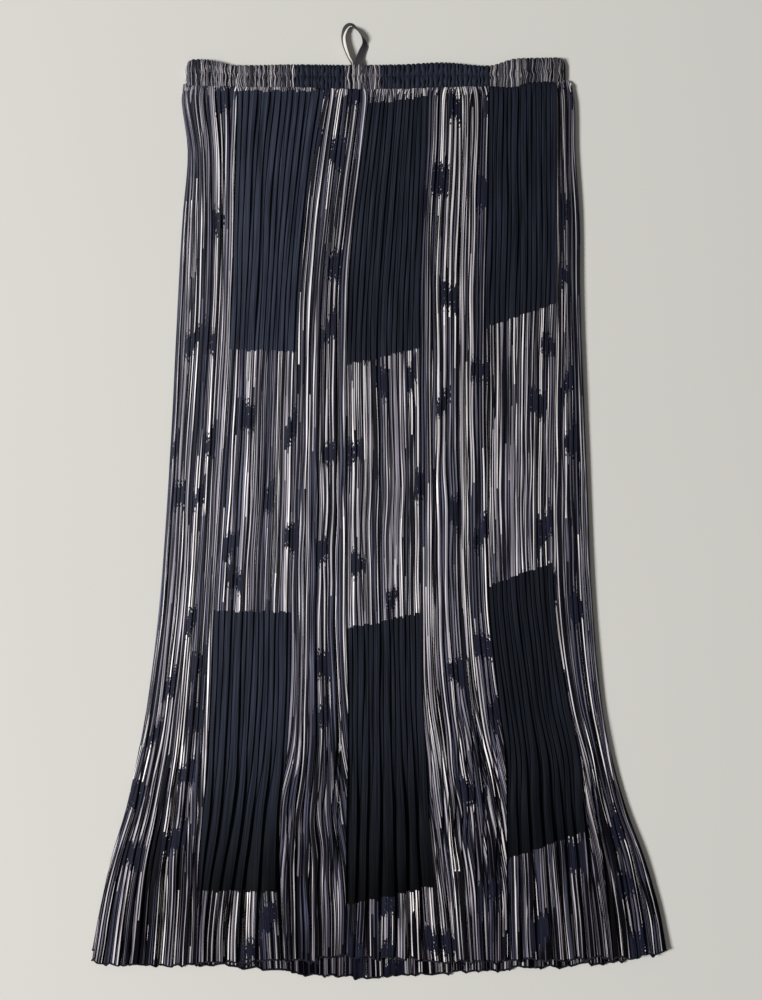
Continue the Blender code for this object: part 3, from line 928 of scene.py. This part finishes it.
def placed(nodes, group, **values):
    """The outputs of the group, placed in the material with its own values."""
    node = nodes.tree.nodes.new("ShaderNodeGroup")
    node.node_tree = group
    for key, value in values.items():
        nodes.feed(node.inputs[key], value)
    return node.outputs


def line_tones(nodes, tone, tones):
    """The colour that a random number picks, each up to its share."""
    ramp = nodes.add("ValToRGB", {"Fac": tone})
    ramp.color_ramp.interpolation = "CONSTANT"
    elements = ramp.color_ramp.elements
    elements.remove(elements[-1])
    elements[0].color = tones[0][1]
    for (starts, _), (_, colour) in zip(tones[:-1], tones[1:]):
        elements.new(starts).color = colour
    return ramp.outputs[0]


def printed_lines(nodes, layer, across, down, taper, rich):
    """Where a layer's upright lines lie, and their colours. A line keeps its colour for a long
    run, then changes or ends. Where the cloth is crumpled it shows as slivers, which swell and
    taper."""
    key = layer.key
    at = nodes.over(across, layer.lane)
    lane = nodes.floor(at)
    start = nodes.times(nodes.chance(lane, key), LINE_STARTS)
    run = nodes.floor(nodes.over(nodes.plus(down, start), LINE_RUN))
    middle = nodes.drawn(-LINE_ASIDE, LINE_ASIDE, lane, key + 1.0)
    half = nodes.drawn(layer.thin, layer.thick, lane, key + 2.0)
    where = nodes.vector(nodes.times(lane, TAPER_LANES), nodes.over(down, TAPER_RUN), key)
    least = nodes.times_plus(taper, TAPER_DEPTH, 1.0)
    swell = nodes.mapped(nodes.noise(where, 1.0, 1.0), *SWELLS, least, 1.0)
    aside = nodes.size(nodes.minus(nodes.minus(nodes.part(at), 0.5), middle))
    inside = nodes.less(aside, nodes.times(half, swell))
    shown = nodes.times_plus(nodes.minus(rich, 1.0), layer.more * layer.shown, layer.shown)
    there = nodes.less(nodes.chance(lane, nodes.plus(run, key + 3.0)), shown)
    tone = nodes.chance(nodes.plus(lane, 0.5), nodes.plus(run, key))
    return nodes.times(inside, there), line_tones(nodes, tone, layer.tones)


def stripe_print(nodes, across, down, taper, rich):
    """Upright stripes of uneven width and tone on near-black: layers of printed lines, richer
    in some stretches than in others."""
    place = nodes.vector(nodes.over(across, RICH_ACROSS), nodes.over(down, RICH_DOWN))
    rich = nodes.times(rich, nodes.mapped(nodes.noise(place, 1.0), *RICH_DRIFT))
    colour = NAVY_BLACK
    for layer in LAYERS:
        mask, tone = printed_lines(nodes, layer, across, down, taper, rich)
        colour = nodes.mixed(mask, colour, tone)
    return [colour]


def dab_print(nodes, across, down):
    """Dark dabs of two or three steps with ragged, speckled ends, each step higher or lower
    than the one before it."""
    column_at = nodes.over(across, DAB_ACROSS)
    lane = nodes.floor(column_at)
    stagger = nodes.times(nodes.chance(lane, 5.0), DAB_DOWN)
    row_at = nodes.over(nodes.plus(down, stagger), DAB_DOWN)
    row = nodes.floor(row_at)
    aside, lower = DAB_SHIFTS
    from_middle = nodes.minus(nodes.part(column_at), 0.5)
    beside = nodes.minus(from_middle, nodes.drawn(-aside, aside, lane, row))
    from_middle = nodes.minus(nodes.part(row_at), 0.5)
    below = nodes.minus(from_middle, nodes.drawn(-lower, lower, row, lane))
    step = nodes.calc("ROUND", nodes.over(nodes.times(beside, DAB_ACROSS), DAB_STEP))
    own = nodes.times_plus(lane, 17.0, row)
    climb = nodes.times(step, nodes.drawn(*DAB_CLIMB, own, 3.0))
    below = nodes.plus(nodes.times(below, DAB_DOWN), climb)
    length = nodes.drawn(*DAB_LENGTHS, own, nodes.plus(step, 31.0))
    rag_lane = nodes.floor(nodes.over(across, DAB_RAG_WIDTH))
    rag = nodes.drawn(-DAB_RAG, DAB_RAG, rag_lane, row)
    reach = nodes.plus(nodes.times(length, DAB_HALF), rag)
    past = nodes.minus(nodes.size(below), reach)
    scale, share_down = DAB_SPECKLE
    fleck = nodes.vector(across, nodes.times(down, share_down))
    shown = nodes.less(nodes.noise(fleck, scale, 1.0), nodes.mapped(past, *DAB_BROKEN))
    near = nodes.times(shown, nodes.less(past, DAB_HALO))
    narrow = nodes.less(nodes.size(step), 1.5)
    there = nodes.more(nodes.chance(nodes.plus(lane, 0.5), row), DAB_NONE)
    return [nodes.times(near, nodes.times(narrow, there))]


def block_print_and_painted_shade(nodes, place, across, down):
    """The plain dark blocks, between their guide pleats, with slanted ends, and the painted shade
    on each, which leaves some blocks darker than others."""
    lane = nodes.floor(nodes.over(across, BLOCK_RAG_WIDTH))
    down = nodes.plus(down, nodes.drawn(-BLOCK_RAG, BLOCK_RAG, lane))
    # light sums each block's painted shade
    total, light = 0.0, 0.0
    for block in BLOCKS:
        zone = (float(block.zone), block.zone + 1.0)
        top = nodes.mapped(place, *zone, block.top_left, block.top_right)
        bottom = nodes.mapped(place, *zone, block.bottom_left, block.bottom_right)
        mask = nodes.times(nodes.between(place, *zone), nodes.between(down, top, bottom))
        total = nodes.most(total, mask)
        light = nodes.times_plus(mask, block.light, light)
    return total, light


def crepe_weave(nodes, grain, across, down):
    """The fine pebbly grain of georgette as a height for Bump, its slight unevenness, and the
    light and dark streaks that pressing leaves along the pleats."""
    where = nodes.add("TexCoord").outputs["Object"]
    scale, share_down = STREAKS
    streaked = nodes.vector(across, nodes.times(down, share_down))
    uneven = nodes.noise(where, UNEVEN_SCALE, 3.0)
    return nodes.noise(where, grain, 1.0), uneven, nodes.noise(streaked, scale)


def shader_groups():
    at = {"Across": 0.0, "Down": 0.0}
    line_inputs = {**at, "Taper": 0.0, "Rich": 1.0}
    weave_inputs = {"Grain": CREPE_GRAIN, **at}
    return {
        "stripe": new_group(stripe_print, line_inputs, ("Color",), "NodeSocketColor"),
        "dab": new_group(dab_print, at, ("Mask",)),
        "block": new_group(block_print_and_painted_shade, {"Place": 0.0, **at}, ("Mask", "Light")),
        "weave": new_group(crepe_weave, weave_inputs, ("Height", "Uneven", "Streak")),
    }


# --- materials
def new_material(name, roughness, sheen, gloss=0.08):
    material = bpy.data.materials.new(name)
    material.use_nodes = True
    shader = material.node_tree.nodes["Principled BSDF"]
    shader.inputs["Roughness"].default_value = roughness
    shader.inputs["Sheen Weight"].default_value = sheen
    shader.inputs["Sheen Roughness"].default_value = 0.45
    shader.inputs["Specular IOR Level"].default_value = gloss
    return material, Nodes(material.node_tree), shader


def print_coordinates(nodes):
    printed = nodes.add("Attribute", attribute_name="print_at").outputs["Vector"]
    return nodes.add("SeparateXYZ", {"Vector": printed}).outputs


def raised(nodes, shader, height, strength, depth):
    """The link of a height to the shader's normal."""
    bump = nodes.add("Bump", {"Height": height, "Strength": strength, "Distance": depth})
    nodes.feed(shader.inputs["Normal"], bump.outputs[0])


def finish_cloth(nodes, shader, weave, colour, across, down):
    """Grain, slight unevenness of colour and roughness, and the link to the shader."""
    grain = placed(nodes, weave, Across=across, Down=down)
    uneven = nodes.mapped(grain["Uneven"], *UNEVEN_COLOUR)
    uneven = nodes.times(uneven, nodes.mapped(grain["Streak"], *STREAK_COLOUR))
    nodes.feed(shader.inputs["Base Color"], nodes.scaled(colour, uneven))
    nodes.feed(shader.inputs["Roughness"], nodes.mapped(grain["Uneven"], *CLOTH_ROUGHNESS))
    raised(nodes, shader, grain["Height"], *CREPE_BUMP)


def pleated_cloth(groups):
    """The panels' print. Its stripes are richer along the waist seam and sparser at the right and
    in the flare, where they break into slivers and stand out more. Painted shade darkens them to
    the right and over the upper part, and darkens their darker tones in the flare; a painted sheen
    lightens the print towards the upper left; and the blocks carry painted shade that deepens
    towards the hem."""
    material, nodes, shader = new_material("printed_georgette_painted_light", 0.6, 0.006, gloss=0.03)
    across, down, place = print_coordinates(nodes)

    def product(*rows):
        return nodes.times(*(nodes.mapped(value, *row) for value, row in rows))

    taper = product((down, SLIVERS_OPEN), (down, SLIVERS_CLOSE))
    rich = product((down, RICH_AT_SEAM), (place, RICH_AT_RIGHT), (down, RICH_AT_FLARE))
    # painted shade on the stripes: darker to the right and over the upper part
    painted_shade = product((place, PAINTED_SHADE_ACROSS), (down, PAINTED_SHADE_AT_TOP), (down, PAINTED_SHADE_AT_FLARE))
    # painted sheen: a pale veil, strongest at the upper left and gone towards the hem
    painted_sheen = product((place, PAINTED_SHEEN_ACROSS), (down, PAINTED_SHEEN_DOWN), (place, PAINTED_SHEEN_AT_LEFT))

    with_block = nodes.more(nodes.part(nodes.times(place, 0.5)), 0.5)
    above_block = nodes.times(with_block, nodes.less(down, ABOVE_BLOCKS))
    packed = nodes.times(across, nodes.times_plus(above_block, PACKED_CLOSER, 1.0))
    stripes = placed(nodes, groups["stripe"], Across=packed, Down=down, Taper=taper, Rich=rich)
    # painted shade: a gamma that darkens the print's darker tones towards the hem
    painted_flare_shade = nodes.mapped(down, *FLARE_PAINTED_SHADE_GAMMA)
    printed = nodes.add("Gamma", {"Color": stripes["Color"], "Gamma": painted_flare_shade}).outputs[0]
    dabs = placed(nodes, groups["dab"], Across=across, Down=down)
    colour = nodes.mixed(dabs["Mask"], nodes.scaled(printed, painted_shade), DAB_NAVY)
    blocks = placed(nodes, groups["block"], Place=place, Across=across, Down=down)
    # painted shade on the blocks: each block's own, deepening towards the hem
    light = nodes.times(blocks["Light"], nodes.mapped(down, *BLOCK_PAINTED_SHADE_DOWN))
    colour = nodes.mixed(blocks["Mask"], colour, nodes.scaled(BLOCK_NAVY[:3], light))
    # the painted sheen added over the colour
    colour = nodes.add("VectorMath", {0: colour, 1: nodes.scaled(PAINTED_SHEEN_TONE, painted_sheen)}).outputs[0]
    finish_cloth(nodes, shader, groups["weave"], colour, across, down)
    return material


def casing_cloth(groups):
    """The casings' print, without dabs, and plain and dark where the blocks' zones are, with
    painted shade on its stripes, darker towards the right.
    """
    material, nodes, shader = new_material("gathered_georgette_painted_shade", 0.6, 0.008)
    across, down, place = print_coordinates(nodes)
    stripes = placed(nodes, groups["stripe"], Across=across, Down=down, Taper=0.3, Rich=1.05)
    plain = 0.0
    for stretch in PLAIN_CASING:
        plain = nodes.most(plain, nodes.between(place, *stretch))
    # painted shade on the casings' stripes: darker towards the right
    painted_shade = nodes.mapped(place, *CASING_PAINTED_SHADE)
    colour = nodes.mixed(plain, nodes.scaled(stripes["Color"], painted_shade), BLOCK_NAVY)
    finish_cloth(nodes, shader, groups["weave"], colour, across, down)
    return material


def overlock_thread():
    """Dark thread wrapped slantwise round the hem's edge."""
    material, nodes, shader = new_material("overlock_thread", 0.55, 0.02)
    along, turn, _ = print_coordinates(nodes)
    wrap = nodes.zigzag(nodes.plus(nodes.over(along, THREAD_WRAP), turn))
    nodes.feed(shader.inputs["Base Color"], nodes.mixed(wrap, *THREAD_TONES))
    raised(nodes, shader, wrap, *THREAD_BUMP)
    return material


def sewing_thread():
    material, nodes, shader = new_material("sewing_thread", 0.5, 0.02)
    across, down, _ = print_coordinates(nodes)
    twist = nodes.zigzag(nodes.times(nodes.plus(across, down), SEWING_TWISTS))
    nodes.feed(shader.inputs["Base Color"], nodes.mixed(twist, *SEWING_TONES))
    return material


def ribbon_satin():
    """Ribbon with a dark satin face and a pale reverse, which shows at its rolled inner edge,
    and fine slanting ribs."""
    material, nodes, shader = new_material("ribbon_satin", 0.5, 0.02, gloss=0.12)
    across, along, pale_from = print_coordinates(nodes)
    rolled = nodes.more(nodes.times(across, -1.0), pale_from)
    ribs_along, ribs_across = SATIN_RIBS
    slant = nodes.plus(nodes.times(along, ribs_along), nodes.times(across, ribs_across))
    rib = nodes.zigzag(slant)
    colour = nodes.mixed(
        rolled, nodes.mixed(rib, *SATIN_TONES), nodes.mixed(rib, *REVERSE_TONES)
    )
    nodes.feed(shader.inputs["Base Color"], colour)
    raised(nodes, shader, rib, *SATIN_BUMP)
    return material


def floor_material():
    material, nodes, shader = new_material("pale_floor", 0.8, 0.0)
    cloudy = nodes.noise(nodes.add("TexCoord").outputs["Object"], FLOOR_CLOUD_SCALE)
    tones = [(*(share * part for part in FLOOR_COLOUR), 1.0) for share in FLOOR_CLOUDS]
    nodes.feed(shader.inputs["Base Color"], nodes.mixed(cloudy, *tones))
    return material


# --- stage
def camera():
    lens = bpy.data.cameras.new("camera")
    lens.sensor_fit = "VERTICAL"
    lens.sensor_height = FILM_TALL
    lens.lens = FILM_TALL * VIEW_HEIGHT / VIEW_TALL
    seen_from = linked("camera", lens)
    seen_from.location = Vector(VIEW_CENTRE) + Vector((0.0, 0.0, VIEW_HEIGHT))
    bpy.context.scene.camera = seen_from


def window_light():
    light = bpy.data.lights.new("window", "AREA")
    light.size = WINDOW_SIZE
    light.energy = WINDOW_POWER
    light.color = WINDOW_COLOUR
    window = linked("window", light)
    window.location = Vector(VIEW_CENTRE) + Vector(WINDOW_FROM)
    window.rotation_euler = Vector(WINDOW_FROM).to_track_quat("Z", "Y").to_euler()


def room_light():
    world = bpy.data.worlds.new("room")
    world.use_nodes = True
    background = world.node_tree.nodes["Background"]
    background.inputs["Color"].default_value = ROOM_COLOUR
    background.inputs["Strength"].default_value = ROOM_STRENGTH
    bpy.context.scene.world = world
    bpy.context.scene.view_settings.view_transform = "Standard"


def floor():
    half = FLOOR_SIZE / 2
    corners = [(-half, -half, 0), (half, -half, 0), (half, half, 0), (-half, half, 0)]
    mesh = bpy.data.meshes.new("floor")
    mesh.from_pydata(corners, [], [(0, 1, 2, 3)])
    linked("floor", mesh, floor_material())


# --- the skirt
def skirt():
    groups = shader_groups()
    georgette = pleated_cloth(groups)
    gathered = casing_cloth(groups)
    thread = overlock_thread()
    sewing = sewing_thread()

    back, back_edge, back_cut = panel(
        "back", BACK_SEED, BACK_PLEAT_LIMIT, back_levels, georgette
    )
    front, front_edge, front_cut = panel(
        "front", FRONT_SEED, PLEAT_LIMIT, front_levels, georgette
    )
    back_hem = hem_edging("back_hem_edging", back_edge, thread)
    front_hem = hem_edging("front_hem_edging", front_edge, thread)
    band_front, front_line = casing("waistband_front_casing", gathered, True)
    band_back, _ = casing("waistband_back_casing", gathered, False)
    sewn = stitches("waistband_stitching", front_line, sewing)
    loop = hanger_loop(ribbon_satin())

    for piece in (back, front, back_hem, front_hem, band_front, band_back, sewn, loop):
        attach(piece, "root")
    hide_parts("back_panel")
    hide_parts("front_panel")
    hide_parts("waistband_front")
    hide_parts("waistband_back")
    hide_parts("hanger_loop")


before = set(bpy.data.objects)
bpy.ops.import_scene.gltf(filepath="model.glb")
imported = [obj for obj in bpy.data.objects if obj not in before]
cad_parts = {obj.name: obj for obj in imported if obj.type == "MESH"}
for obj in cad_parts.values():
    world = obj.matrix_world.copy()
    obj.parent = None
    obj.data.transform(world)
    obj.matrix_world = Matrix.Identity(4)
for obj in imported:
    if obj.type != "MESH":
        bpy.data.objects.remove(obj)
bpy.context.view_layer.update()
camera()
window_light()
room_light()
floor()
skirt()
